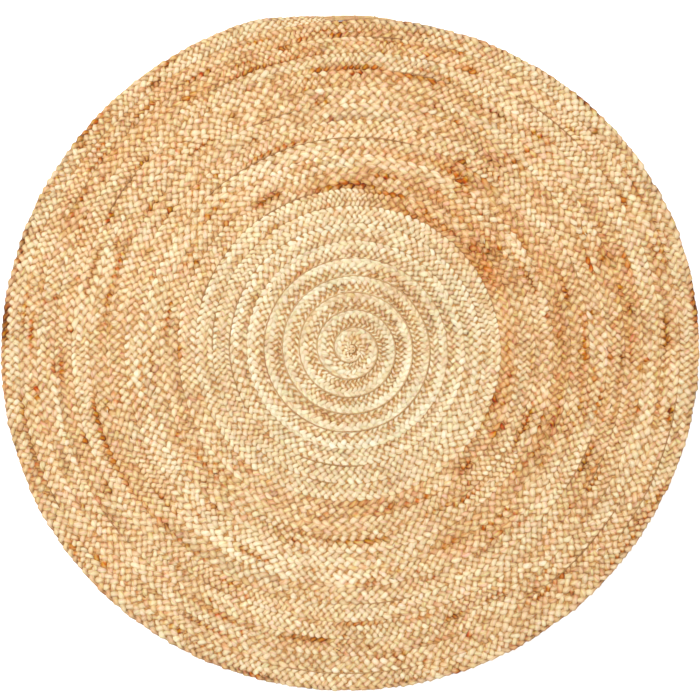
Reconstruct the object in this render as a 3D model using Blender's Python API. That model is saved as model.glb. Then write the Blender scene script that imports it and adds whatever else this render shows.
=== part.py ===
"""A round area rug: one long flat braid of jute, wound flat from its centre and laced edge to edge.

Metres, +Z up. The rug lies on z = 0, with the middle of its outline over the origin. Seen from above,
the braid winds outwards clockwise. It is made of two lengths, a pale one inside and a golden one
outside, and its last strands lie tapering along the rim at +Y.
"""

import math

import bmesh
import bpy

# The braid
PITCH = 0.03045  # from one turn to the next
THICKNESS = 0.011
EDGE_SLOPE = 0.0035  # how far the face stops short of the braid's edge, which bulges at mid height
GAP = 0.0003  # between pieces that touch

# The spiral, in turns counted from the centre to the outer edge of the braid
START_ANGLE = math.pi  # direction of the spiral at turn 0
FIRST_TURN = 0.35
JOIN_TURN = 9.2  # the pale braid ends here and the golden one starts
TAIL_TURN = 20.2  # the braid starts to narrow
LAST_TURN = 20.237  # the braid ends
STEPS = 40  # stations in a turn
END_CLEARANCE = 0.25  # share of a step that a piece's end keeps to the next station
COARSE_TURNS = 6  # the tight turns inside this one have half as many stations
# How a wide turn strays from a circle: waves round the turn, their size at the rim as a share of the
# radius, and the direction of their first crest in degrees
WAVES = ((1, 0.011, -29), (2, 0.017, 14))

# The binding round the cut start of the braid
CORE_RADIUS = 0.006
CORE_CORNERS = 12

# The lacing cord, in the lower groove between two turns
LACE_DIAMETER = 0.0024
LACE_HEIGHT = 0.002
LACE_START, LACE_END = 0.6, 19.225

# The tail: three strands that leave the end of the braid
TAIL_WIDTH = 0.33  # of the braid's end, as a share of its full width
TAIL_STRANDS = 3
TAIL_SPAN = 0.043  # turns from the braid's end to the tip of the longest strand
TAIL_SHORTER = 0.2  # each strand further out is shorter by this share of the span
TAIL_DIAMETER, TIP_DIAMETER = 0.0027, 0.0014
TAIL_OFFSET = 0.0019  # from the turn inside it to the tail
TAIL_LIFT = 0.003  # of its start above the floor, on which its tip lies
TAIL_STATIONS = 10
TAIL_SIDES = 8
THREAD = 0.001  # thickness of the thread of the binding and the stitches
BINDING_LENGTH, BINDING_AT = 0.006, 0.1  # places along the tail are shares of its span
STITCH_LENGTH, STITCHES_AT = 0.0016, (0.34, 0.56)


def material(name, colour):
    """Matt jute of this colour."""
    made = bpy.data.materials.new(name)
    made.use_nodes = True
    shader = made.node_tree.nodes["Principled BSDF"]
    shader.inputs["Base Color"].default_value = (*colour, 1.0)
    shader.inputs["Roughness"].default_value = 0.9
    shader.inputs["Metallic"].default_value = 0.0
    return made


def angle_at(turn):
    return START_ANGLE - math.tau * turn


def rim(turn):
    """The radius of the braid's outer edge, which is also the inner edge of the next turn out."""
    wave = sum(
        size * math.cos(count * angle_at(turn) - math.radians(count * crest)) for count, size, crest in WAVES
    )
    return PITCH * turn * (1 + wave * (turn / TAIL_TURN) ** 2)


def place(turn, radius, height):
    angle = angle_at(turn)
    return radius * math.cos(angle), radius * math.sin(angle), height


def stations(first, last):
    """The turns at which a spiral piece has a section. Neighbours share directions, so none cuts in."""
    clear = END_CLEARANCE / STEPS
    indices = range(math.ceil((first + clear) * STEPS), math.floor((last - clear) * STEPS) + 1)
    return [first, *(i / STEPS for i in indices if i % 2 == 0 or i > COARSE_TURNS * STEPS), last]


def add(name, bm, finish, smooth=True):
    """Turns the bmesh into a named object of the rug."""
    bmesh.ops.recalc_face_normals(bm, faces=bm.faces)
    mesh = bpy.data.meshes.new(name)
    bm.to_mesh(mesh)
    bm.free()
    mesh.materials.append(finish)
    if smooth:
        mesh.shade_smooth()
        mesh.set_sharp_from_angle(angle=math.radians(40))
    made = bpy.data.objects.new(name, mesh)
    bpy.context.collection.objects.link(made)
    return made


def sweep(name, sections, finish, smooth=True):
    """A solid through these sections, each a closed loop of the same number of points."""
    bm = bmesh.new()
    loops = [[bm.verts.new(point) for point in section] for section in sections]
    for before, after in zip(loops, loops[1:]):
        for i in range(len(before)):
            j = (i + 1) % len(before)
            bm.faces.new((before[i], before[j], after[j], after[i]))
    bm.faces.new(loops[0])
    bm.faces.new(loops[-1])
    return add(name, bm, finish, smooth)


def braid_edges(turn):
    """Radii of the braid's inner and outer edge."""
    inner = max(rim(turn - 1), CORE_RADIUS) + GAP / 2
    outer = rim(turn) - GAP / 2
    narrowed = max(0.0, turn - TAIL_TURN) / (LAST_TURN - TAIL_TURN)
    return inner, outer - (outer - inner) * (1 - TAIL_WIDTH) * narrowed


def braid(name, first, last, finish):
    """A length of the braid: flat faces, and edges that slope out to mid height."""
    sections = []
    for turn in stations(first, last):
        inner, outer = braid_edges(turn)
        slope = min(EDGE_SLOPE, (outer - inner) / 3)
        profile = (
            (inner + slope, 0),
            (outer - slope, 0),
            (outer, THICKNESS / 2),
            (outer - slope, THICKNESS),
            (inner + slope, THICKNESS),
            (inner, THICKNESS / 2),
        )
        sections.append([place(turn, radius, height) for radius, height in profile])
    return sweep(name, sections, finish, smooth=False)


def lacing(name, first, last, finish):
    """The cord that laces two turns together, under their meeting edges."""
    half = LACE_DIAMETER / 2
    sections = []
    for turn in stations(first, last):
        radius = rim(turn)
        profile = ((radius, -half), (radius + half, 0), (radius, half), (radius - half, 0))
        sections.append([place(turn, r, LACE_HEIGHT + height) for r, height in profile])
    return sweep(name, sections, finish)


def centre_binding(finish):
    """Thread wound round the cut start of the braid, on end in the middle of the first turn."""
    bm = bmesh.new()
    bmesh.ops.create_cone(
        bm,
        cap_ends=True,
        segments=CORE_CORNERS,
        radius1=CORE_RADIUS - GAP,
        radius2=CORE_RADIUS - GAP,
        depth=THICKNESS,
    )
    bmesh.ops.bevel(
        bm,
        geom=[edge for edge in bm.edges if abs(edge.verts[0].co.z - edge.verts[1].co.z) < GAP],
        offset=0.001,
        segments=2,
        affect="EDGES",
    )
    bmesh.ops.translate(bm, verts=bm.verts, vec=(0, 0, THICKNESS / 2))
    return add("centre_binding", bm, finish)


def tail_strand(number, along):
    """Turn, centre radius, centre height and diameter of a tail strand, at this share of the tail."""
    turn = LAST_TURN + TAIL_SPAN * along
    diameter = TAIL_DIAMETER + (TIP_DIAMETER - TAIL_DIAMETER) * along
    radius = rim(turn - 1) + TAIL_OFFSET + (diameter + GAP) * (number + 0.5)
    return turn, radius, diameter / 2 + TAIL_LIFT * (1 - along), diameter


def tail_strands(finish):
    """The strand ends, the inner one the longest, which come down from the braid onto the floor."""
    start = GAP / (TAIL_SPAN * math.tau * rim(LAST_TURN))
    for number in range(TAIL_STRANDS):
        share = 1 - TAIL_SHORTER * number
        sections = []
        for step in range(TAIL_STATIONS):
            along = start + (share - start) * step / (TAIL_STATIONS - 1)
            turn, radius, height, diameter = tail_strand(number, along)
            section = []
            for side in range(TAIL_SIDES):
                round_it = math.tau * side / TAIL_SIDES
                across, up = math.cos(round_it) * diameter / 2, math.sin(round_it) * diameter / 2
                section.append(place(turn, radius + across, height + up))
            sections.append(section)
        sweep(f"tail_strand_{number + 1}", sections, finish)


def tail_loop(name, along, length, finish):
    """A closed loop of thread round the tail strands: a short tube of oblong section."""
    turn, inner, height, diameter = tail_strand(0, along)
    last = sum(1 for number in range(TAIL_STRANDS) if along < 1 - TAIL_SHORTER * number) - 1
    outer = tail_strand(last, along)[1]
    middle, half = (inner + outer) / 2, (outer - inner + diameter) / 2
    open_size = (half + GAP, diameter / 2 + GAP)
    full_size = (open_size[0] + THREAD, open_size[1] + THREAD)
    bm = bmesh.new()
    loops = []
    for side, (across, up) in ((-1, full_size), (1, full_size), (1, open_size), (-1, open_size)):
        corners = ((-across, -up), (across, -up), (across, up), (-across, up))
        loops.append([bm.verts.new((x, side * length / 2, z)) for x, z in corners])
    for before, after in zip(loops, loops[1:] + loops[:1]):
        for i in range(len(before)):
            j = (i + 1) % len(before)
            bm.faces.new((before[i], before[j], after[j], after[i]))
    made = add(name, bm, finish, smooth=False)
    made.location = place(turn, middle, height)
    made.rotation_euler.z = angle_at(turn)
    return made


def centre_on_origin():
    """Moves the rug so that the middle of its outline is over the origin."""
    pieces = list(bpy.data.objects)
    bpy.context.view_layer.update()
    corners = [piece.matrix_world @ vertex.co for piece in pieces for vertex in piece.data.vertices]
    rug = bpy.data.objects.new("rug", None)
    bpy.context.collection.objects.link(rug)
    for axis in (0, 1):
        values = [corner[axis] for corner in corners]
        rug.location[axis] = -(min(values) + max(values)) / 2
    for piece in pieces:
        piece.parent = rug


def main():
    for old in list(bpy.data.objects):
        bpy.data.objects.remove(old)
    pale = material("pale_jute", (0.84, 0.66, 0.40))
    golden = material("golden_jute", (0.62, 0.39, 0.17))
    cord = material("lacing_cord", (0.30, 0.15, 0.06))
    half_gap = GAP / (2 * math.tau * rim(JOIN_TURN))

    braid("pale_braid", FIRST_TURN, JOIN_TURN - half_gap, pale)
    braid("golden_braid", JOIN_TURN + half_gap, LAST_TURN, golden)
    lacing("pale_lacing", LACE_START, JOIN_TURN - 1 - half_gap, cord)
    lacing("golden_lacing", JOIN_TURN - 1 + half_gap, LACE_END, cord)
    centre_binding(cord)
    tail_strands(golden)
    tail_loop("tail_binding", BINDING_AT, BINDING_LENGTH, cord)
    for number, along in enumerate(STITCHES_AT, start=1):
        tail_loop(f"tail_stitch_{number}", along, STITCH_LENGTH, cord)
    centre_on_origin()


main()
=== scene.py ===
"""The looks of a round area rug: a flat braid of jute, wound flat from its centre, round its CAD frame.

Metres, +Z up. Seen from above, the braid winds outwards clockwise. Each of its five strands is a piece of
its own, which really passes over one strand and under the next. Three measures place things on the braid:

- turn: how many turns the spiral has made, counted from its centre to the braid's outer edge.
- pip: a pip is the short stretch of a strand that shows on the face. The five strands together make one
  row of pips in each of four columns, and pips are counted along the braid from its start.
- share: how far across the braid a place is, from -1 at its inner edge to 1 at its outer edge.
"""

import math

import bpy
import numpy as np
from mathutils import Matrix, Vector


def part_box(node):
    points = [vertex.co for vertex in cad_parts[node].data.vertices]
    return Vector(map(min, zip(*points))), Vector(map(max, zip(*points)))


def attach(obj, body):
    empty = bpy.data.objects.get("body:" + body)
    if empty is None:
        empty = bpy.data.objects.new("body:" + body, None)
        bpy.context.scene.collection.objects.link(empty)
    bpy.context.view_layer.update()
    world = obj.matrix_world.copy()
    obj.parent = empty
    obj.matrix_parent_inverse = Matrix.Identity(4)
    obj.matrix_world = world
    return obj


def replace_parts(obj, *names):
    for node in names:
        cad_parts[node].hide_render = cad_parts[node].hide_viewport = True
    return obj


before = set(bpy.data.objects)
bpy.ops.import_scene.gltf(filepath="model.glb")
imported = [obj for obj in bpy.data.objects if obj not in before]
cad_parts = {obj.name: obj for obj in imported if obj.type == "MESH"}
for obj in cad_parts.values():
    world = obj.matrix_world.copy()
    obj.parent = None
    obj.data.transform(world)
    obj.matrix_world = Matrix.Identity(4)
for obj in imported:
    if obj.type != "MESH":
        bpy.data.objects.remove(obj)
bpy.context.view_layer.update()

# The spiral, as in the CAD
PITCH = 0.03045  # from one turn to the next
THICKNESS = 0.011
GAP = 0.0003  # between pieces that touch
START_ANGLE = math.pi  # direction of the spiral at turn 0
FIRST_TURN, JOIN_TURN = 0.35, 9.2  # the braid starts, and changes from pale to golden
TAIL_TURN, LAST_TURN = 20.2, 20.237  # it starts to narrow, and ends
# How a wide turn strays from a circle: waves round the turn, their size at the rim as a share of the
# radius, and the direction of their first crest in degrees
WAVES = ((1, 0.011, -29), (2, 0.017, 14))
CORE_RADIUS = 0.006  # of the bundle in the middle, from which the first turn curls
LACE_START, LACE_END = 0.6, 19.225

# The tail, as in the CAD
TAIL_WIDTH = 0.33  # of the braid's end, as a share of its full width
TAIL_STRANDS = 3
TAIL_SPAN = 0.043  # turns from the braid's end to the tip of the longest strand
TAIL_SHORTER = 0.2  # each strand further out is shorter by this share of the span
TAIL_DIAMETER, TIP_DIAMETER = 0.0027, 0.0014
TAIL_OFFSET = 0.0019  # from the turn inside it to the tail
TAIL_LIFT = 0.003  # of its start above the floor, on which its tip lies
THREAD = 0.001  # thickness of the thread of the binding and the stitches
BINDING_LENGTH, BINDING_AT = 0.006, 0.1  # places along the tail are shares of its span
STITCH_LENGTH, STITCHES_AT = 0.0016, (0.34, 0.56)

# Random values that change smoothly. Each pair below is the spacing of new values, and their size.


def smooth(share):
    """0 up to 0, 1 from 1 on, and a soft step between."""
    share = np.clip(share, 0, 1)
    return share * share * (3 - 2 * share)


def line_field(seed, spacing, length):
    """A function that gives values from -1 to 1 at any places on a line of this length."""
    table = np.random.default_rng(seed).uniform(-1, 1, math.ceil(length / spacing) + 3)

    def value(place):
        position = np.clip(place, 0, length) / spacing
        index = np.asarray(position).astype(int)
        share = smooth(position - index)
        return table[index] * (1 - share) + table[index + 1] * share

    return value


def wander(rng, along, spacing):
    """Values from -1 to 1 at these places, which lie in order along a line."""
    first = math.floor(along[0] / spacing)
    values = rng.uniform(-1, 1, math.ceil(along[-1] / spacing) - first + 2)
    position = along / spacing - first
    index = position.astype(int)
    share = smooth(position - index)
    return values[index] * (1 - share) + values[index + 1] * share


# The spiral

# How the seams stray. Their places are squares of turns, which grow evenly along the braid.
SEAM_STRAYS = ((0.5, 0.0005), (3, 0.0008))
SEAM_FIELDS = [
    (line_field(30 + number, spacing, LAST_TURN**2 + 50), size)
    for number, (spacing, size) in enumerate(SEAM_STRAYS)
]


def angle_at(turn):
    return START_ANGLE - math.tau * turn


def rim(turn):
    """The radius of the braid's outer edge, which is also the inner edge of the next turn out."""
    wave = sum(
        size * np.cos(count * angle_at(turn) - math.radians(count * crest)) for count, size, crest in WAVES
    )
    stray = sum(size * field(turn**2) for field, size in SEAM_FIELDS) * smooth(turn - 0.5)
    return PITCH * turn * (1 + wave * (turn / TAIL_TURN) ** 2) + stray


def braid_edges(turn):
    """Radii of the braid's inner and outer edge."""
    inner = np.maximum(rim(turn - 1), CORE_RADIUS) + GAP / 2
    outer = rim(turn) - GAP / 2
    narrowed = np.clip((turn - TAIL_TURN) / (LAST_TURN - TAIL_TURN), 0, 1)
    return inner, outer - (outer - inner) * (1 - TAIL_WIDTH) * narrowed


def spiral_centre():
    low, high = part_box("centre_binding")
    return np.array([(low.x + high.x) / 2, (low.y + high.y) / 2, 0.0])


CENTRE = spiral_centre()


def place(turn, radius, height):
    angle = angle_at(turn)
    flat = np.stack(np.broadcast_arrays(radius * np.cos(angle), radius * np.sin(angle), height), -1)
    return CENTRE + flat


# The pips

STRANDS = 5
COLUMNS = STRANDS - 1
ROUND_TRIP = STRANDS  # pips in which a strand crosses the braid and comes back
FULL_HALF = 0.01508  # half width of the braid where it isn't narrowed
# Turns, and the length of a pip there
PIP_LENGTHS = (
    (0.3, 0.0170),
    (1.1, 0.0118),
    (2, 0.0114),
    (5, 0.0130),
    (9.2, 0.0130),
    (9.3, 0.0163),
    (12, 0.0163),
    (19, 0.0145),
)
NARROW_SHORTER = 0.6  # power of the braid's width by which its pips are shorter where it is narrow
TIGHTNESS = ((0.03, 0.22), (0.15, 0.14), (0.7, 0.08))  # how a pip's length varies, as shares of it
LANES = 6  # into which the braid's width is divided for random values


def count_pips():
    """Turns all along the braid, with the pips and the metres from its start to each."""
    turn = np.linspace(FIRST_TURN, LAST_TURN, 40001)
    inner, outer = braid_edges(turn)
    middle = place(turn, (inner + outer) / 2, 0.0)
    step = np.linalg.norm(np.diff(middle, axis=0), axis=1)
    width = np.minimum(1, (outer - inner) / (2 * FULL_HALF))
    length = np.interp(turn, *zip(*PIP_LENGTHS)) * width**NARROW_SHORTER
    along = np.concatenate([[0], np.cumsum(step)])
    length *= 1 + sum(
        size * line_field(20 + number, spacing, along[-1])(along)
        for number, (spacing, size) in enumerate(TIGHTNESS)
    )
    count = np.concatenate([[0], np.cumsum(step / ((length[1:] + length[:-1]) / 2))])
    return turn, count, along


TURNS, PIPS, LENGTHS = count_pips()


def lane_field(seed, spacing):
    """A function that gives values from -1 to 1 at any pips and shares, with new ones in each lane."""
    table = np.random.default_rng(seed).uniform(-1, 1, (LANES + 1, math.ceil(PIPS[-1] / spacing) + 3))

    def value(pip, share):
        lane = np.clip((share + 1) / 2 * LANES, 0, LANES - 0.001)
        step = np.clip(pip, 0, None) / spacing
        row, column = lane.astype(int), step.astype(int)
        over, on = smooth(lane - row), smooth(step - column)
        near = table[row, column] * (1 - on) + table[row, column + 1] * on
        far = table[row + 1, column] * (1 - on) + table[row + 1, column + 1] * on
        return near * (1 - over) + far * over

    return value


def lane_fields(seed, drifts):
    """Lane fields of these spacings, each with its size."""
    return [(lane_field(seed + number, spacing), size) for number, (spacing, size) in enumerate(drifts)]


# Where turns are tight, they are dished, and their outer halves look like smooth light bands: partly from
# their shape, and partly painted light, as a paler colour and less painted shade, while the inner halves get
# more painted shade
TIGHT_TURN, EVEN_TURN = 4.5, 7.5


def dished(turn):
    """1 inside TIGHT_TURN, and 0 outside EVEN_TURN."""
    return smooth((EVEN_TURN - turn) / (EVEN_TURN - TIGHT_TURN))


def banded(turn):
    """The same for the light bands, which fade out two turns further on."""
    return smooth((EVEN_TURN + 2 - turn) / (EVEN_TURN + 2 - TIGHT_TURN))


def on_band(share):
    """1 on the outer half of a turn, and 0 on its inner half."""
    return smooth(share / 0.2)


def sunken(turn, share):
    """1 on the inner half of a turn, which lies lower, but not in the first turn."""
    return (1 - on_band(share)) * smooth(turn - 0.9)


def is_golden(turn):
    """0 along the pale braid, which is cleaner, and 1 along the golden one."""
    return smooth((turn - JOIN_TURN + 0.2) / 0.4)


# Tubes, of which all strands, cords and threads are made


def tube(name, rings, tone, along, twist, finish, warmth=0.0):
    """A closed tube through rings (station, side, xyz), with its tone, warmth and its fibres' directions."""
    count, sides = rings.shape[:2]
    mesh = bpy.data.meshes.new(name)
    start = np.arange(count - 1)[:, None] * sides
    side = np.arange(sides)[None, :]
    after = (side + 1) % sides
    quads = np.stack([start + side, start + after, start + after + sides, start + side + sides], -1)
    last = (count - 1) * sides
    corners = np.concatenate([quads.ravel(), np.arange(sides)[::-1], last + np.arange(sides)])
    starts = np.concatenate([np.arange(quads.size // 4) * 4, quads.size + np.array([0, sides])])
    mesh.vertices.add(count * sides)
    mesh.vertices.foreach_set("co", rings.astype(np.float32).ravel())
    mesh.loops.add(len(corners))
    mesh.loops.foreach_set("vertex_index", corners.astype(np.int32))
    mesh.polygons.add(len(starts))
    mesh.polygons.foreach_set("loop_start", starts.astype(np.int32))
    mesh.polygons.foreach_set("use_smooth", np.ones(len(starts), bool))
    mesh.update(calc_edges=True)

    for attribute, value in (("tone", tone), ("warmth", warmth)):
        values = np.broadcast_to(value, (count, sides)).astype(np.float32)
        mesh.attributes.new(attribute, "FLOAT", "POINT").data.foreach_set("value", values.ravel())
    turned = math.tau * (np.arange(sides)[None, :] / sides + along[:, None] / twist)
    fibre = np.stack([np.broadcast_to(along[:, None], turned.shape), np.cos(turned), np.sin(turned)], -1)
    layer = mesh.attributes.new("fibre", "FLOAT_VECTOR", "POINT")
    layer.data.foreach_set("vector", fibre.astype(np.float32).ravel())
    strips(mesh, count, sides)

    mesh.materials.append(finish)
    piece = bpy.data.objects.new(name, mesh)
    bpy.context.scene.collection.objects.link(piece)
    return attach(piece, "root")


def strips(mesh, count, sides):
    """A map of the tube cut into strips that lie side by side in the unit square, for baking."""
    rows = max(1, round(math.sqrt((count - 1) / (sides + 1))))
    columns = math.ceil((count - 1) / rows)
    station = np.arange(count - 1)[:, None]
    side = np.arange(sides)[None, :]
    left = (station % columns) + 0 * side
    low = (station // columns) * (sides + 1) + side
    corners = np.stack([left, low, left, low + 1, left + 1, low + 1, left + 1, low], -1).astype(float)
    scaled = corners.reshape(-1, 2) / [columns, rows * (sides + 1)]
    caps = np.concatenate([np.repeat(scaled[:1], sides, 0), np.repeat(scaled[-1:], sides, 0)])
    layer = mesh.uv_layers.new(name="OFBake")
    layer.data.foreach_set("uv", np.concatenate([scaled, caps]).astype(np.float32).ravel())


def sections(line, half_width, half_height, sides):
    """Oval rings of these half sizes round a line of points, each square to it and level across."""
    ahead = np.gradient(line, axis=0)
    ahead /= np.linalg.norm(ahead, axis=1)[:, None]
    across = np.stack([-ahead[:, 1], ahead[:, 0], np.zeros(len(line))], -1)
    across /= np.linalg.norm(across, axis=1)[:, None]
    up = np.cross(ahead, across)
    turned = math.tau * np.arange(sides) / sides
    return (
        line[:, None]
        + across[:, None] * (half_width[:, None] * np.cos(turned))[..., None]
        + up[:, None] * (half_height[:, None] * np.sin(turned))[..., None]
    )


# The shape of a plaited strand

STATIONS = 8  # sections in a pip
SIDES = 8
END_GAP = 0.01  # pips that a strand stops short of its last station, where another run of it may start
COLUMN_REACH = 0.99  # how far out the strands lie, as a share of the braid's half width
EDGE_REACH, EDGE_SHARPNESS = 0.125, 4.0  # how far, and how roundly, a strand swings out as it turns back
CLIMB_START, CLIMB = 0.42, 0.5  # the pips in which it comes up round the edge, after its last crossing
RISE = 0.0026  # of a strand's middle line above and below the braid's
DISH = 0.0011  # how far a dished turn's outer edge rises and its inner edge sinks
BAND_FLATTER = 0.35  # share of the rise that is lost at the outer edge of a dished turn

# Half width of a strand as a share of the distance between neighbours that lie side by side, and half its
# height: on top of a crossing, half way to the next, and at the braid's edge
CROSSING_FILL, WAIST_FILL, EDGE_FILL = 0.46, 0.41, 0.31
CROSSING_HEIGHT, WAIST_HEIGHT, EDGE_HEIGHT = 0.0026, 0.0029, 0.0032
DISHED_EDGE_FILL = 0.08  # more at the edge of a dished turn
CROWDED = 0.20  # how much narrower strands are on the inner side of a dished turn, and wider outside
CORE_REACH, CORE_FILL = 0.024, 0.17  # near the centre strands are pressed together: radius, and wider by

# How strands stray at random
STRAY_SPACING = 2  # pips between new values for strands that stray together
ALL_ALONG, ALL_ACROSS = 0.19, 0.0012  # together: pips, and metres
ONE_ALONG, ONE_ACROSS, ONE_UP = 0.08, 0.0006, 0.0004  # each by itself: pips, and metres
UNEVEN_WIDTH, UNEVEN_EDGE = 0.18, 0.0008
STRAY_ALONG, STRAY_ACROSS = lane_field(86, STRAY_SPACING), lane_field(87, STRAY_SPACING)
# How the braid is skewed, one edge drawn ahead and the other back: pips between new values, and pips
SKEW_SPACING, SKEW = 4, 0.32
SKEWED = line_field(89, SKEW_SPACING, PIPS[-1])


def across_and_up(phase):
    """Where a strand is across the braid (-1 to 1) and up (-1 to 1), at this pip of its round trip."""
    there = (phase + 0.5) % ROUND_TRIP
    column = np.minimum(there, ROUND_TRIP - there)
    outside = np.maximum(0.5 - column, column - COLUMNS / 2) * 2
    flat = np.clip(column, 0.5, COLUMNS / 2) - 1.25
    rounded = EDGE_REACH * (1 - np.clip(1 - outside, 0, 1) ** EDGE_SHARPNESS)
    across = (flat + np.sign(flat) * rounded) * COLUMN_REACH

    phase = phase % ROUND_TRIP
    rightwards = np.cos(math.tau * phase)
    turning_out = 2 * smooth((phase - 1.5 - CLIMB_START) / CLIMB) - 1
    leftwards = np.cos(math.tau * (phase - 2.5))
    turning_in = 2 * smooth((phase - 4 - CLIMB_START) / CLIMB) - 1
    up = np.select([phase <= 1.5, phase <= 2.5, phase <= 4], [rightwards, turning_out, leftwards], turning_in)
    return across, up


def under_crossing(strand, pip):
    """The first place after pip where the strand passes under another, so that an end there is hidden."""
    places = [strand + trip * ROUND_TRIP + at for trip in range(-1, 1000) for at in (0.5, 1.5, 3, 4)]
    return min(at for at in places if at >= pip)


def strand_run(name, strand, first, last, base, finish, seed):
    """One strand of the braid, from one pip to another."""
    pip = np.arange(round(first * STATIONS), round(last * STATIONS) + 1) / STATIONS
    pip[0] += END_GAP
    pip[-1] -= END_GAP
    rng = np.random.default_rng(seed)
    turn = np.interp(pip, PIPS, TURNS)
    along = np.interp(pip, PIPS, LENGTHS)
    inner, outer = braid_edges(turn)
    middle, half = (inner + outer) / 2, (outer - inner) / 2
    across, up = across_and_up(pip - strand)
    fullness = np.minimum(1, half / FULL_HALF) ** 0.8
    dish = dished(turn)

    # Its middle line
    stray = ALL_ACROSS * STRAY_ACROSS(pip, across) * (1 - across**4) + ONE_ACROSS * wander(rng, pip, 0.5)
    radius = middle + across * half + stray * fullness
    rise = (RISE - DISH * dish) * (1 - BAND_FLATTER * dish * np.clip(across, 0, 1)) * fullness
    height = THICKNESS / 2 + up * rise + ONE_UP * wander(rng, pip, 0.5) + DISH * dish * across
    stray = ALL_ALONG * STRAY_ALONG(pip, across) + ONE_ALONG * wander(rng, pip, 0.5)
    stray += SKEW * SKEWED(pip) * across
    turn = turn + stray * np.gradient(turn, pip)
    at_edge = smooth((abs(across) / COLUMN_REACH - 0.75) / EDGE_REACH)
    radius += UNEVEN_EDGE * wander(rng, pip, 1) * at_edge * fullness

    # Its half width and half height
    at_edge *= smooth((0.95 - up) / 0.8)
    crossing = up**2
    fill = WAIST_FILL + (CROSSING_FILL - WAIST_FILL) * crossing
    tall = WAIST_HEIGHT + (CROSSING_HEIGHT - WAIST_HEIGHT) * crossing
    fill += (EDGE_FILL + DISHED_EDGE_FILL * dish - fill) * at_edge
    tall += (EDGE_HEIGHT - tall) * at_edge
    fill += CORE_FILL * (1 - smooth(radius / CORE_REACH))
    fill *= 1 + CROWDED * dish * across * smooth((turn - 1) / 1.5)
    fill *= 1 + UNEVEN_WIDTH * wander(rng, pip, 0.5)
    pip_length = np.gradient(along, pip) * radius / middle
    slope = np.arctan2(half / (COLUMNS / 2), pip_length / 2)
    wide = fill * pip_length * np.sin(slope)

    rings = sections(place(turn, radius, height), wide, tall * fullness, SIDES)
    rings[..., 2] = np.clip(rings[..., 2], 0.0001, THICKNESS + 0.0005)
    tone = strand_tone(base, rng, pip, turn, across, up, radius)
    warmth = strand_warmth(rng, pip, turn, across)
    fibres = along * FIBRE_STRETCH + strand * 3.7 + seed
    return tube(name, rings, tone, fibres, FIBRE_TWIST, finish, warmth[:, None])


# The tone and the warmth of the fibre, with painted light and shade

# A tone runs from 0, darkest, to 1, lightest
PALE_TONE, GOLDEN_TONE, LACE_TONE, BINDING_TONE, TAIL_TONE = 0.729, 0.729, 0.46, 0.70, 0.52
DRIFTS = ((60, 0.03), (12, 0.04), (2, 0.10), (0.5, 0.08))  # of one strand, with spacings in pips
LANE_DRIFTS = ((30, 0.035), (9, 0.055), (3, 0.12))  # of all strands along a lane of the braid
LIGHT_SHARE = 0.65  # of a drift that is left where it lightens
PALE_DRIFT = 0.75  # of a drift that is left where it darkens the pale braid

# Warmth is 0 for straw, above it for orange brown, and below it for grey
LANE_WARMTHS = ((20, 0.3), (6, 0.45), (2, 0.5))
STRAND_WARMTHS = ((4, 0.3), (0.5, 0.35))
PALE_WARMTH, BAND_HIGHLIGHT_WARMTH = -0.7, -0.7  # of the pale braid, and more on the light bands, where the paler colour is a painted highlight

# Dark, orange brown streaks: where the higher of two lane fields is above a limit
SPOT_SPACINGS = (9, 3)
SPOT_RARITY = 0.51
SPOTS_AT_SEAMS = 0.22  # how much higher the fields are at the seams than in the middle of the braid, partly as painted shade in the seams
SPOT_DEPTH, SPOT_WARMTH = 0.42, 1.6
PALE_SPOTS = 0.35  # their share that is left in the pale braid

# Painted shade: a strand is darker where it goes under, and down its sides
UNDER_SHADE, SIDE_SHADE = 0.195, 0.13
PALE_DEPTH = 0.70  # share of both that is left in the pale braid
CORE_DEPTH = 0.1  # and near the centre, inside CORE_REACH
BAND_EVENNESS = 0.38  # share of both that is lost on the light bands
SUNK_DEPTH, SUNK_TOP_HIGHLIGHT = 2.0, 0.04  # more of both painted shades on the sunken halves, whose tops are lighter with a painted highlight
TOPS_SPARED, VALLEYS_DEEPER = 0.35, 3.5  # dark stretches are darkest between the strands, as deeper painted shade there, and their tops are spared part of the darkening

RIDGE_PAINTED_LIGHT, LAST_RIDGE = 0.045, 12.3  # painted light: a turn is lighter on its outer side, as far as this turn
RIM_DARKER, RIM_WARMTH = 0.09, -0.3  # of the outermost column, and of the last turn

# Stretches of the braid that are darker or lighter than the rest of their length: from turn, to turn, tone
STRETCHES = (
    (1.2, 1.56, -0.08),
    (1.68, 1.9, 0.05),
    (2.8, 2.95, 0.08),
    (3.15, 3.44, -0.09),
    (3.5, 3.75, 0.07),
    (4.28, 4.6, -0.04),
    (4.68, 4.92, -0.05),
    (5.28, 5.46, -0.08),
    (7.0, 7.2, 0.05),
    (8.33, 8.44, -0.08),
    (9.25, 9.66, -0.10),
    (9.36, 9.46, -0.08),
    (9.66, 9.78, -0.05),
    (10.19, 10.5, -0.07),
    (11.17, 11.26, 0.10),
    (11.98, 12.26, 0.06),
    (12.26, 12.7, -0.09),
    (12.68, 13.03, 0.07),
    (13.4, 13.6, -0.06),
    (13.68, 13.9, 0.07),
    (14.3, 14.55, -0.03),
    (14.85, 15.0, -0.06),
    (15.42, 15.62, -0.07),
    (15.62, 16.1, 0.03),
    (16.18, 16.58, -0.04),
    (16.42, 16.52, -0.07),
    (16.6, 16.8, 0.04),
    (16.9, 17.05, -0.05),
    (17.25, 17.62, 0.03),
    (18.05, 18.35, -0.05),
    (19.05, 19.3, -0.05),
    (19.4, 19.65, -0.02),
)
STRETCH_FADE = 0.03  # turns in which a stretch begins and ends
STRETCH_WARMTH = 5  # of a dark stretch, for each unit of its tone

LANE_TONE_FIELDS = lane_fields(90, LANE_DRIFTS)
SPOT_FIELDS = [lane_field(98 + number, spacing) for number, spacing in enumerate(SPOT_SPACINGS)]
LANE_WARMTH_FIELDS = lane_fields(110, LANE_WARMTHS)


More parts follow.
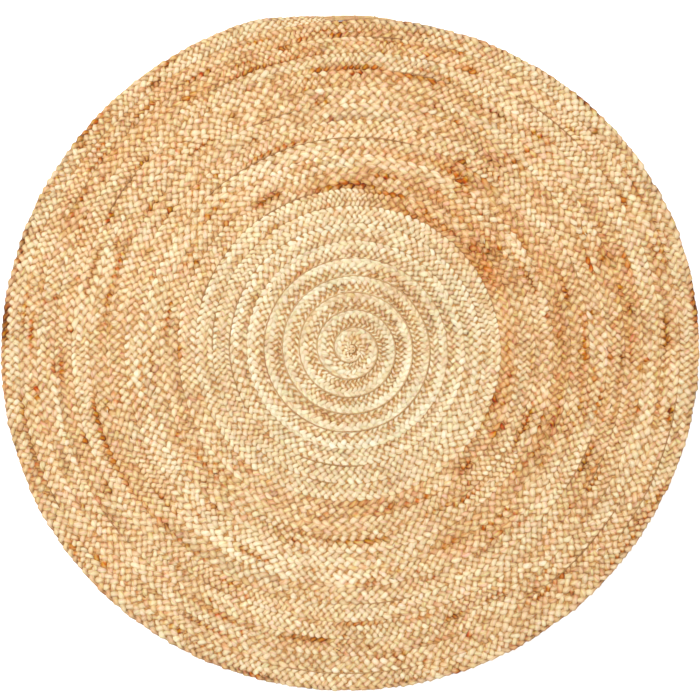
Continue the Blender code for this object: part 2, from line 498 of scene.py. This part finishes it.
def stretches(turn):
    shifts = (
        shift * smooth((turn - first) / STRETCH_FADE) * smooth((last - turn) / STRETCH_FADE)
        for first, last, shift in STRETCHES
    )
    return sum(shifts)


def in_last_turn(turn):
    return smooth((turn - LAST_TURN + 1.1) / 0.2)


def in_last_column(share):
    return smooth((share - 0.45) / 0.25)


def spots(pip, turn, share):
    """How deep in a dark, orange brown streak each place is, from 0 to 1."""
    highest = np.maximum(*(field(pip, share) for field in SPOT_FIELDS))
    highest = highest + SPOTS_AT_SEAMS * (share**2 - 0.4)
    inside = smooth((highest - SPOT_RARITY) / (1 - SPOT_RARITY))
    return inside * (PALE_SPOTS + (1 - PALE_SPOTS) * is_golden(turn))


def top_tone(base, rng, pip, turn, share):
    """How light the top of the strand is at each section, painted light on the outer sides of turns and on
    sunken tops included.
    """
    drift = sum(size * wander(rng, pip, spacing) for spacing, size in DRIFTS)
    drift += sum(size * field(pip, share) for field, size in LANE_TONE_FIELDS)
    drift *= np.where(drift > 0, LIGHT_SHARE, PALE_DRIFT + (1 - PALE_DRIFT) * is_golden(turn))
    tone = base + drift + stretches(turn) - SPOT_DEPTH * spots(pip, turn, share)
    tone += RIDGE_PAINTED_LIGHT * share * smooth(LAST_RIDGE - turn) * smooth(turn - TIGHT_TURN - 1)
    tone -= RIM_DARKER * in_last_turn(turn) * in_last_column(share)
    # painted highlight on the tops of the sunken halves
    return tone + SUNK_TOP_HIGHLIGHT * banded(turn) * sunken(turn, share)


def strand_tone(base, rng, pip, turn, share, up, radius):
    """How light the strand is, at each section and side, with painted shade where it goes under and down its
    sides.
    """
    tone = top_tone(base, rng, pip, turn, share)
    darker = np.maximum(0, base - tone)
    shade_depth = 1 + banded(turn) * (SUNK_DEPTH * sunken(turn, share) - BAND_EVENNESS * on_band(share))
    # the painted shade is deeper between the strands in dark stretches
    shade_depth *= 1 + VALLEYS_DEEPER * darker
    shade_depth *= CORE_DEPTH + (1 - CORE_DEPTH) * smooth(radius / CORE_REACH)
    shade_depth *= PALE_DEPTH + (1 - PALE_DEPTH) * is_golden(turn)
    # painted shade, below the crossings and down the strand's sides
    below = ((1 - up) / 2) ** 0.65
    side = abs(np.cos(math.tau * np.arange(SIDES) / SIDES)) ** 1.3
    shade = shade_depth[:, None] * (UNDER_SHADE * below[:, None] + SIDE_SHADE * side)
    return (tone + TOPS_SPARED * darker)[:, None] - shade


def strand_warmth(rng, pip, turn, share):
    """How far the fibre's colour strays from straw at each section."""
    lanes = sum(size * field(pip, share) for field, size in LANE_WARMTH_FIELDS)
    own = sum(size * wander(rng, pip, spacing) for spacing, size in STRAND_WARMTHS)
    paler = PALE_WARMTH * (1 - is_golden(turn)) + BAND_HIGHLIGHT_WARMTH * banded(turn) * on_band(share)
    warmer = SPOT_WARMTH * spots(pip, turn, share) + RIM_WARMTH * in_last_turn(turn)
    return lanes + own + paler + warmer - STRETCH_WARMTH * stretches(turn)


# Materials

FIBRE_TWIST = 0.045  # length in which a strand's fibres go round once
FIBRE_STRETCH = 1.4  # length of a strand for each length of braid
# The fibre's noise: along the strand, round it, and its detail
COARSE_STREAKS, FINE_STREAKS, HUE_STREAKS = (70, 5, 3), (110, 14, 4), (23, 1.1, 3)
COARSE_SIZE, FINE_SIZE = 0.26, 0.34  # in tone, from lightest to darkest
PLY_GROOVE_SHADE, PLY_WIDTH = 0.11, 0.45  # painted shade: how much darker the groove between a strand's two plies is
HUE_DRIFT = 0.165
WARM_HUE, WARM_SATURATION = 0.012, 0.15  # for each unit of warmth
# Tones, and the fibre's colour there
JUTE_RAMP = (
    (0.0, (0.13, 0.048, 0.013)),
    (0.3, (0.385, 0.184, 0.064)),
    (0.55, (0.60, 0.386, 0.180)),
    (0.75, (0.74, 0.572, 0.344)),
    (1.0, (0.92, 0.785, 0.598)),
)


def jute(name, bump):
    """Dry jute: streaks of lighter and darker fibre round the strand's twist, and a matt, hairy face."""
    made = bpy.data.materials.new(name)
    made.use_nodes = True
    nodes, links = made.node_tree.nodes, made.node_tree.links
    shader = nodes["Principled BSDF"]

    def attribute(called):
        node = nodes.new("ShaderNodeAttribute")
        node.attribute_name = called
        return node

    def streaks(along, around, detail):
        stretch = nodes.new("ShaderNodeVectorMath")
        stretch.operation = "MULTIPLY"
        stretch.inputs[1].default_value = (along, around, around)
        links.new(fibre, stretch.inputs[0])
        noise = nodes.new("ShaderNodeTexNoise")
        noise.inputs["Scale"].default_value = 1.0
        noise.inputs["Detail"].default_value = detail
        noise.inputs["Roughness"].default_value = 0.6
        links.new(stretch.outputs[0], noise.inputs["Vector"])
        return noise.outputs["Fac"]

    def scaled(value, factor, offset=0.0):
        node = nodes.new("ShaderNodeMath")
        node.operation = "MULTIPLY_ADD"
        node.inputs[1].default_value = factor
        node.inputs[2].default_value = offset
        links.new(value, node.inputs[0])
        return node.outputs[0]

    def added(first, second):
        node = nodes.new("ShaderNodeMath")
        node.operation = "ADD"
        links.new(first, node.inputs[0])
        links.new(second, node.inputs[1])
        return node.outputs[0]

    def ply_groove():
        parts = nodes.new("ShaderNodeSeparateXYZ")
        links.new(fibre, parts.inputs[0])
        from_groove = nodes.new("ShaderNodeMath")
        from_groove.operation = "ABSOLUTE"
        links.new(parts.outputs["Z"], from_groove.inputs[0])
        groove = nodes.new("ShaderNodeMapRange")
        groove.interpolation_type = "SMOOTHSTEP"
        groove.inputs["From Max"].default_value = PLY_WIDTH
        groove.inputs["To Min"].default_value = -PLY_GROOVE_SHADE
        groove.inputs["To Max"].default_value = 0.0
        links.new(from_groove.outputs[0], groove.inputs["Value"])
        return groove.outputs["Result"]

    tone, warmth = attribute("tone").outputs["Fac"], attribute("warmth").outputs["Fac"]
    fibre = attribute("fibre").outputs["Vector"]
    coarse, fine, groove = streaks(*COARSE_STREAKS), streaks(*FINE_STREAKS), ply_groove()
    uneven = added(scaled(coarse, COARSE_SIZE, -COARSE_SIZE / 2), scaled(fine, FINE_SIZE, -FINE_SIZE / 2))
    colours = nodes.new("ShaderNodeValToRGB")
    while len(colours.color_ramp.elements) < len(JUTE_RAMP):
        colours.color_ramp.elements.new(0.5)
    for element, (position, colour) in zip(colours.color_ramp.elements, JUTE_RAMP):
        element.position = position
        element.color = (*colour, 1)
    # the ply groove darkens the colour as painted shade
    links.new(added(added(tone, uneven), groove), colours.inputs["Fac"])

    hue = nodes.new("ShaderNodeHueSaturation")
    hue_drift = scaled(streaks(*HUE_STREAKS), HUE_DRIFT, 0.5 - HUE_DRIFT / 2)
    links.new(added(hue_drift, scaled(warmth, -WARM_HUE)), hue.inputs["Hue"])
    links.new(scaled(warmth, WARM_SATURATION, 1.0), hue.inputs["Saturation"])
    links.new(colours.outputs["Color"], hue.inputs["Color"])
    links.new(hue.outputs["Color"], shader.inputs["Base Color"])
    links.new(scaled(fine, -0.3, 1.0), shader.inputs["Roughness"])

    hairs = nodes.new("ShaderNodeBump")
    hairs.inputs["Strength"].default_value = bump
    hairs.inputs["Distance"].default_value = 0.0006
    links.new(added(fine, scaled(groove, 4)), hairs.inputs["Height"])
    links.new(hairs.outputs["Normal"], shader.inputs["Normal"])
    shader.inputs["Specular IOR Level"].default_value = 0.2
    shader.inputs["Sheen Weight"].default_value = 0.15
    shader.inputs["Sheen Roughness"].default_value = 0.5
    return made


def dark_fibre_and_shade(name):
    """Dark loose fibre, deep in the holes of the plait, whose dark colour is partly painted shade."""
    made = bpy.data.materials.new(name)
    made.use_nodes = True
    nodes, links = made.node_tree.nodes, made.node_tree.links
    shader = nodes["Principled BSDF"]
    where = nodes.new("ShaderNodeTexCoord")
    noise = nodes.new("ShaderNodeTexNoise")
    noise.inputs["Scale"].default_value = 400
    noise.inputs["Detail"].default_value = 4
    links.new(where.outputs["Object"], noise.inputs["Vector"])
    colours = nodes.new("ShaderNodeValToRGB")
    dark, light = colours.color_ramp.elements
    dark.position, dark.color = 0.35, (0.28, 0.12, 0.035, 1)
    light.position, light.color = 0.65, (0.58, 0.31, 0.11, 1)
    links.new(noise.outputs["Fac"], colours.inputs["Fac"])
    links.new(colours.outputs["Color"], shader.inputs["Base Color"])
    roughness = nodes.new("ShaderNodeMapRange")
    roughness.inputs["To Min"].default_value = 0.8
    roughness.inputs["To Max"].default_value = 1.0
    links.new(noise.outputs["Fac"], roughness.inputs["Value"])
    links.new(roughness.outputs["Result"], shader.inputs["Roughness"])
    hairs = nodes.new("ShaderNodeBump")
    hairs.inputs["Strength"].default_value = 0.8
    hairs.inputs["Distance"].default_value = 0.001
    links.new(noise.outputs["Fac"], hairs.inputs["Height"])
    links.new(hairs.outputs["Normal"], shader.inputs["Normal"])
    shader.inputs["Specular IOR Level"].default_value = 0.1
    return made


pale_jute = jute("pale_jute", 0.6)
golden_jute = jute("golden_jute", 0.6)
lace_jute = jute("lacing_cord", 0.8)
fibre_and_shade_finish = dark_fibre_and_shade("fibre_fill_and_shade")


# The ten plaited strands

SPLIT_TURN = 15.4  # the golden strands are made in two runs, which meet here


def make_braids():
    join, split = np.interp([JOIN_TURN, SPLIT_TURN], TURNS, PIPS)
    end = math.floor(PIPS[-1] * STATIONS) / STATIONS
    pieces = []
    for strand in range(STRANDS):
        joined, splits = under_crossing(strand, join), under_crossing(strand, split)
        number = strand + 1
        pale = strand_run(f"pale_strand_{number}", strand, 0, joined, PALE_TONE, pale_jute, strand)
        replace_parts(pale, "pale_braid")
        pieces.append(pale)
        for part, first, last in (("a", joined, splits), ("b", splits, end)):
            name = f"golden_strand_{number}{part}"
            golden = strand_run(name, strand, first, last, GOLDEN_TONE, golden_jute, strand + 10)
            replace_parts(golden, "golden_braid")
            pieces.append(golden)
    return pieces


# The fibre inside the braid, darkened with painted shade

FELT_INSET = 0.004  # from the rug's outline
FELT_START = 0.001  # from the spiral's centre
FELT_HEIGHT, FELT_HALF, FELT_UNEVEN = 0.0062, 0.0009, 0.0004
FELT_DIRECTIONS, FELT_RINGS = 360, 60


def outline(angle):
    """The radius of the rug's edge in this direction from the spiral's centre."""
    turn = ((START_ANGLE - angle) / math.tau) % 1 + math.floor(LAST_TURN)
    turn = np.where(turn > LAST_TURN, turn - 1, turn)
    return braid_edges(turn)[1]


def make_fibre_fill_and_shade(braids):
    """The strands' loose fibres, matted together at mid height in the small holes of the plait, as a dark
    sheet that is partly painted shade.
    """
    angle = math.tau * np.arange(FELT_DIRECTIONS) / FELT_DIRECTIONS
    share = np.linspace(0, 1, FELT_RINGS)[:, None]
    around = outline(angle)
    edge = np.minimum(np.minimum(around, np.roll(around, 1)), np.roll(around, -1)) - FELT_INSET
    radius = FELT_START + (edge - FELT_START) * share
    rng = np.random.default_rng(40)
    middle = FELT_HEIGHT + rng.uniform(-FELT_UNEVEN, FELT_UNEVEN, radius.shape)
    x, y = CENTRE[0] + radius * np.cos(angle), CENTRE[1] + radius * np.sin(angle)
    faces_up = np.stack([x, y, middle + FELT_HALF], -1)
    faces_down = np.stack([x, y, middle - FELT_HALF], -1)
    loop = np.concatenate([faces_down, faces_up[::-1]])

    count = len(loop)
    first = np.arange(count)[:, None] * FELT_DIRECTIONS
    second = (np.arange(count)[:, None] + 1) % count * FELT_DIRECTIONS
    here = np.arange(FELT_DIRECTIONS)[None, :]
    ahead = (here + 1) % FELT_DIRECTIONS
    quads = np.stack([first + here, first + ahead, second + ahead, second + here], -1).reshape(-1, 4)
    mesh = bpy.data.meshes.new("fibre_fill_and_shade")
    mesh.from_pydata(loop.reshape(-1, 3).tolist(), [], quads[:, ::-1].tolist())
    mesh.shade_smooth()
    mesh.materials.append(fibre_and_shade_finish)
    piece = bpy.data.objects.new("fibre_fill_and_shade", mesh)
    bpy.context.scene.collection.objects.link(piece)
    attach(piece, "root")


# The lacing

LACE_RADIUS, LACE_SWING, LACE_TWIST = 0.0011, 0.0011, 0.008
LACE_LOW, LACE_HIGH = 0.0052, 0.0094  # height of the cord's middle line: hidden, and where it shows
LACE_OPENINGS, OPENING_RARITY = 9, 0.72  # pips from one place where it may show to the next
OPENING_DARKER = 0.10
LACE_STATIONS, LACE_SIDES = 5, 6  # stations in a pip


def lacing(name, first, last, node):
    """The cord that laces two turns edge to edge, swinging from one to the other with each pip."""
    start, end = np.interp([first + GAP, last - GAP], TURNS, PIPS)
    pip = np.linspace(start, end, round((end - start) * LACE_STATIONS))
    turn = np.interp(pip, PIPS, TURNS)
    rng = np.random.default_rng(len(name))
    dish = dished(turn)
    # In the dished turns the dark cord shows all along the seam, standing in partly for the shade in the
    # groove between turns
    shows = np.maximum(dish, smooth((wander(rng, pip, LACE_OPENINGS) - OPENING_RARITY) / 0.1))
    height = LACE_LOW + (LACE_HIGH - LACE_LOW) * shows
    radius = rim(turn) + LACE_SWING * (1 - 0.7 * shows) * np.cos(math.tau * pip)
    size = np.full(len(pip), LACE_RADIUS)
    # painted shade: the cord is darker where it shows at an opening outside the dished turns
    tone = LACE_TONE - OPENING_DARKER * (shows - dish)
    tone = tone + 0.06 * wander(rng, pip, 2) + 0.06 * wander(rng, pip, 23)
    rings = sections(place(turn, radius, height), size, size, LACE_SIDES)
    along = np.interp(pip, PIPS, LENGTHS)
    piece = tube(name, rings, tone[:, None], along, LACE_TWIST, lace_jute)
    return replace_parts(piece, node)


# The centre

CENTRE_THREAD = 0.0018
CENTRE_LOOSER = 0.0013  # than in the CAD
CENTRE_ROUNDS, ROUND_STATIONS, THREAD_SIDES = 6, 24, 8
STUB_RADIUS, STUB_REACH, STUB_DOME = 0.0028, 0.0041, 0.0012


def make_centre():
    """The cut start of the braid: five strand ends on end, and the thread wound round them."""
    share = np.linspace(0, 1, CENTRE_ROUNDS * ROUND_STATIONS)
    angle = math.tau * CENTRE_ROUNDS * share
    half = CENTRE_THREAD / 2
    reach = CORE_RADIUS - GAP - half + CENTRE_LOOSER
    height = half + (THICKNESS - 2.6 * half) * share
    line = np.stack([reach * np.cos(angle), reach * np.sin(angle), height], -1)
    size = np.full(len(share), half)
    tone = BINDING_TONE + 0.1 * wander(np.random.default_rng(50), angle, 1.5)
    rings = sections(CENTRE + line, size, size, THREAD_SIDES)
    thread = tube("centre_binding_thread", rings, tone[:, None], angle * reach, 0.006, pale_jute)
    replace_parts(thread, "centre_binding")
    for number in range(STRANDS):
        out = 0.0 if number == 0 else STUB_REACH
        where = math.tau * number / (STRANDS - 1)
        middle = CENTRE + [out * math.cos(where), out * math.sin(where), 0]
        strand_end(f"centre_strand_end_{number + 1}", middle, 60 + number)


def strand_end(name, middle, seed):
    """An upright strand end with a domed, frayed top."""
    rng = np.random.default_rng(seed)
    top = THICKNESS - STUB_DOME + rng.uniform(-0.0005, 0.0003)
    dome = np.linspace(0, math.pi / 2 - 0.15, 6)
    height = np.concatenate([[0.0004, top / 2], top - STUB_DOME + STUB_DOME * np.sin(dome)])
    reach = STUB_RADIUS * np.concatenate([[1, 1], np.cos(dome) ** 0.7])
    angle = math.tau * np.arange(SIDES) / SIDES
    uneven = 1 + 0.12 * rng.uniform(-1, 1, (len(height), SIDES))
    across = (reach[:, None] * uneven)[..., None] * np.stack([np.cos(angle), np.sin(angle)], -1)
    rings = np.concatenate([across, np.broadcast_to(height[:, None, None], (*across.shape[:2], 1))], -1)
    tone = PALE_TONE - 0.1 + rng.uniform(-0.08, 0.08)
    piece = tube(name, middle + rings, tone, height, 0.03, pale_jute)
    return piece


# The tail

TAIL_TUCK = 0.2  # share of the tail's span by which its strands reach back into the braid's end
TAIL_PLUMPER = 1.4  # than in the CAD
TAIL_CLOSER = 0.0011  # to the turn inside it than in the CAD
TAIL_STATIONS = 60
ROUND_STEPS, WOUND_SIDES = 20, 6  # of the thread wound round the tail


def tail_strand(number, along):
    """Turn, centre radius, centre height and diameter of a tail strand, at this share of the tail."""
    turn = LAST_TURN + TAIL_SPAN * along
    diameter = TAIL_DIAMETER + (TIP_DIAMETER - TAIL_DIAMETER) * along
    radius = rim(turn - 1) + TAIL_OFFSET + (diameter + GAP) * (number + 0.5)
    return turn, radius, diameter / 2 + TAIL_LIFT * (1 - along), diameter


def make_tail():
    """The strand ends that taper along the rim, their binding, and the stitches that hold them together."""
    for number in range(TAIL_STRANDS):
        along = np.linspace(-TAIL_TUCK, 1 - TAIL_SHORTER * number, TAIL_STATIONS)
        turn, radius, height, diameter = tail_strand(number, along)
        rng = np.random.default_rng(70 + number)
        radius = radius - TAIL_CLOSER + 0.0004 * wander(rng, along, 0.11)
        height = np.minimum(height, TAIL_LIFT + TAIL_DIAMETER / 2)
        size = TAIL_PLUMPER * diameter / 2 * (1 + 0.12 * wander(rng, along, 0.07))
        size *= np.minimum(1, (along[-1] - along) * 8 + 0.35)
        tone = TAIL_TONE + 0.10 * wander(rng, along, 0.25) + 0.05 * wander(rng, along, 0.05)
        rings = sections(place(turn, radius, height), size, size, SIDES)
        rings[..., 2] = np.maximum(rings[..., 2], 0.0001)
        name = f"tail_strand_{number + 1}"
        metres = (turn - LAST_TURN) * math.tau * rim(LAST_TURN)
        piece = tube(name + "_twisted", rings, tone[:, None], metres, 0.03, golden_jute)
        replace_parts(piece, name)
    wound_thread("tail_binding", BINDING_AT, BINDING_LENGTH, 6)
    for number, along in enumerate(STITCHES_AT, start=1):
        wound_thread(f"tail_stitch_{number}", along, STITCH_LENGTH, 2)


def wound_thread(node, along, length, rounds):
    """Thread wound round the tail strands that reach this far."""
    turn, inner, height, diameter = tail_strand(0, along)
    last = sum(1 for number in range(TAIL_STRANDS) if along < 1 - TAIL_SHORTER * number) - 1
    outer = tail_strand(last, along)[1]
    middle, half = (inner + outer) / 2 - TAIL_CLOSER, (outer - inner + diameter) / 2
    share = np.linspace(0, 1, rounds * ROUND_STEPS)
    angle = math.tau * rounds * share
    reach = THREAD / 2 + GAP
    flat = np.sign(np.cos(angle)) * abs(np.cos(angle)) ** 0.6 * (half + reach)
    up = np.sign(np.sin(angle)) * abs(np.sin(angle)) ** 0.8 * (diameter / 2 + reach)
    span = max(length - THREAD, 0.6 * THREAD * rounds)
    turns = turn + (share - 0.5) * span / (math.tau * rim(LAST_TURN))
    line = place(turns, middle + flat, np.maximum(height + up, THREAD / 2))
    size = np.full(len(share), THREAD / 2 * 0.9)
    tone = TAIL_TONE + 0.08 * wander(np.random.default_rng(rounds), angle, 2.0)
    rings = sections(line, size, size, WOUND_SIDES)
    piece = tube(node + "_thread", rings, tone[:, None], angle * half, 0.004, golden_jute)
    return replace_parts(piece, node)


# Loose fibres on the face

STRAW_LENGTH, STRAW_HALF = (0.006, 0.012), (0.0005, 0.0008)
# How many there are of each kind, and the lengths, half widths and tones they may have
LOOSE_KINDS = (
    (50, STRAW_LENGTH, STRAW_HALF, (0.85, 1.0)),
    (12, STRAW_LENGTH, STRAW_HALF, (0.0, 0.12)),
    (98, (0.02, 0.05), (0.00012, 0.0002), (0.2, 0.9)),
)
FIBRE_STATIONS, FIBRE_SIDES = 9, 4


def make_loose_fibres():
    """Straws and fibres that have worked loose from the strands and lie on the face, as on any jute."""
    rng = np.random.default_rng(80)
    share = np.linspace(-0.5, 0.5, FIBRE_STATIONS)
    along = np.linspace(0, 1, FIBRE_STATIONS) * 0.02
    pieces = []
    for count, lengths, halves, tones in LOOSE_KINDS:
        for _ in range(count):
            turn = math.sqrt(rng.uniform(2, 19.5**2))
            length = rng.uniform(*lengths)
            way = angle_at(turn) + math.pi / 2 + rng.uniform(-0.9, 0.9)
            way = way + rng.uniform(-30, 30) * length * share
            step = length / FIBRE_STATIONS
            flat = np.stack([np.cumsum(np.cos(way)) * step, np.cumsum(np.sin(way)) * step], -1)
            middle = place(turn, rim(turn) - PITCH * rng.uniform(0.1, 0.9), THICKNESS - 0.0002)
            line = middle + np.concatenate([flat - flat.mean(0), -0.006 * share[:, None] ** 2], -1)
            size = rng.uniform(*halves) * np.sqrt(1 - 3.6 * share**2)
            tone = rng.uniform(*tones)
            rings = sections(line, size, size * 0.6, FIBRE_SIDES)
            pieces.append(tube(f"fibre_{len(pieces)}", rings, tone, along, 0.01, golden_jute))
    join(pieces, "loose_fibres", "golden_jute")


def join(pieces, name, slot):
    """Makes one object of several, without their maps for baking, which would overlap."""
    bpy.ops.object.select_all(action="DESELECT")
    for piece in pieces:
        piece.select_set(True)
    bpy.context.view_layer.objects.active = pieces[0]
    bpy.ops.object.join()
    pieces[0].name = name
    pieces[0].data.name = name
    pieces[0].data.uv_layers.remove(pieces[0].data.uv_layers[0])
    return pieces[0]


# The stage


def make_stage():
    """A pale floor that gives off a little light, white surroundings, and one large soft lamp."""
    bpy.ops.mesh.primitive_plane_add(size=40)
    floor = bpy.context.object
    floor.name = "floor"
    paint = bpy.data.materials.new("floor")
    paint.use_nodes = True
    shader = paint.node_tree.nodes["Principled BSDF"]
    shader.inputs["Base Color"].default_value = (0.94, 0.94, 0.94, 1)
    shader.inputs["Roughness"].default_value = 0.9
    shader.inputs["Emission Color"].default_value = (1, 1, 1, 1)
    shader.inputs["Emission Strength"].default_value = 0.35
    floor.data.materials.append(paint)

    world = bpy.data.worlds.new("studio")
    world.use_nodes = True
    world.node_tree.nodes["Background"].inputs["Color"].default_value = (1, 1, 1, 1)
    world.node_tree.nodes["Background"].inputs["Strength"].default_value = 0.95
    bpy.context.scene.world = world

    key = bpy.data.lights.new("key", "AREA")
    key.shape = "DISK"
    key.size = 2.5
    key.energy = 250
    lamp = bpy.data.objects.new("key", key)
    lamp.location = (-2.2, 2.4, 5.2)
    lamp.rotation_euler = (-lamp.location).to_track_quat("-Z", "Y").to_euler()
    bpy.context.scene.collection.objects.link(lamp)


def make_camera():
    """Straight above, with a hair's breadth of floor round the rug."""
    lens = bpy.data.cameras.new("camera")
    lens.lens, lens.sensor_width = 85, 36
    camera = bpy.data.objects.new("camera", lens)
    width = 1.2226  # of the view, at the rug's face
    distance = width * lens.lens / lens.sensor_width
    camera.location = (CENTRE[0] - 0.0026, CENTRE[1] - 0.0017, THICKNESS + distance)
    bpy.context.scene.collection.objects.link(camera)
    bpy.context.scene.camera = camera


make_fibre_fill_and_shade(make_braids())
lacing("pale_lacing_cord", LACE_START, JOIN_TURN - 1, "pale_lacing")
lacing("golden_lacing_cord", JOIN_TURN - 1, LACE_END, "golden_lacing")
make_centre()
make_tail()
make_loose_fibres()
make_stage()
make_camera()
bpy.context.scene.view_settings.view_transform = "Standard"
